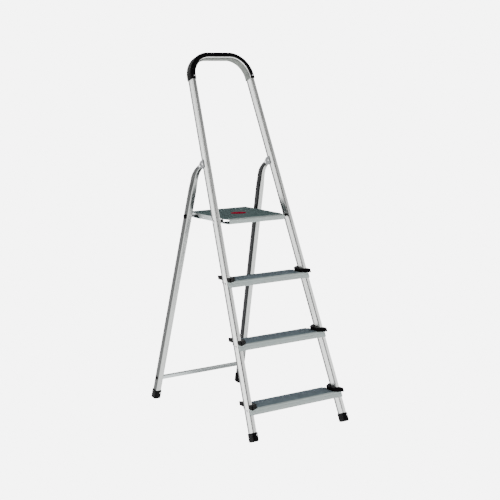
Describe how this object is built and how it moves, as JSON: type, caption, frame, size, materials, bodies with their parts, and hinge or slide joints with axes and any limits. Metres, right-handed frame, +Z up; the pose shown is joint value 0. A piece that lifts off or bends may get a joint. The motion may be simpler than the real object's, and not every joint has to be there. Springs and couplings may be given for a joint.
{
  "type": "platform step ladder",
  "caption": "Folding aluminium platform step ladder: tapered front stiles bent into a padded hand hoop, ribbed treads with moulded ends, hinged rear legs and a fold-up platform",
  "frame": {"origin": "on the floor, at the middle of the open ladder's footprint", "axes": "+X to the right of someone facing the treads, +Y from the treads towards the rear legs, +Z up"},
  "size_m": [0.4646, 0.7412, 1.4306],
  "materials": {
    "aluminium": "satin extruded tube",
    "tread": "ribbed extrusion, dark satin",
    "deck": "ribbed extrusion, dark green-grey satin",
    "bare": "mill finish extrusion",
    "steel": "zinc plated",
    "black": "moulded",
    "bracket": "dark grey coated",
    "liner": "moulded light grey",
    "white": "bright rivet",
    "red": "plain red plate"
  },
  "bodies": {
    "front_frame": {"bracket_rivet_left": "steel", "bracket_rivet_right": "steel", "front_foot_left": "black", "front_foot_right": "black", "front_foot_rivet_left": "white", "front_foot_rivet_right": "white", "front_tube": "aluminium", "grip_cover": "black", "grip_liner": "liner", "grip_screw_left": "steel", "grip_screw_right": "steel", "hinge_bracket_left": "bracket", "hinge_bracket_right": "bracket", "hinge_pin_left": "steel", "hinge_pin_right": "steel", "platform_bush_left": "black", "platform_bush_right": "black", "platform_pivot_left": "steel", "platform_pivot_right": "steel", "tread_1": "tread", "tread_1_cap_left": "black", "tread_1_cap_right": "black", "tread_1_screw_left": "steel", "tread_1_screw_right": "steel", "tread_2": "tread", "tread_2_cap_left": "black", "tread_2_cap_right": "black", "tread_2_screw_left": "steel", "tread_2_screw_right": "steel", "tread_3": "tread", "tread_3_cap_left": "black", "tread_3_cap_right": "black", "tread_3_screw_left": "steel", "tread_3_screw_right": "steel"},
    "rear_frame": {"brace_plug_left": "black", "brace_plug_right": "black", "platform_rest_pin_left": "steel", "platform_rest_pin_right": "steel", "rear_brace": "bare", "rear_foot_left": "black", "rear_foot_right": "black", "rear_foot_rivet_left": "white", "rear_foot_rivet_right": "white", "rear_leg_left": "aluminium", "rear_leg_right": "aluminium", "rest_pin_cap_left": "black", "rest_pin_cap_right": "black"},
    "platform": {"deck_label": "red", "platform_deck": "deck", "platform_side_plate_left": "bare", "platform_side_plate_right": "bare", "side_plate_screw_left_1": "steel", "side_plate_screw_left_2": "steel", "side_plate_screw_right_1": "steel", "side_plate_screw_right_2": "steel"}
  },
  "joints": [
    {"name": "rear_fold", "type": "hinge", "parent": "front_frame", "child": "rear_frame", "pos_m": [0, 0.08791, 0.995], "axis": [-1, 0, 0], "range_deg": [0, 34.3]},
    {"name": "platform_fold", "type": "hinge", "parent": "front_frame", "child": "platform", "pos_m": [0, -0.02304, 0.7885], "axis": [1, 0, 0], "range_deg": [0, 67.7]}
  ]
}
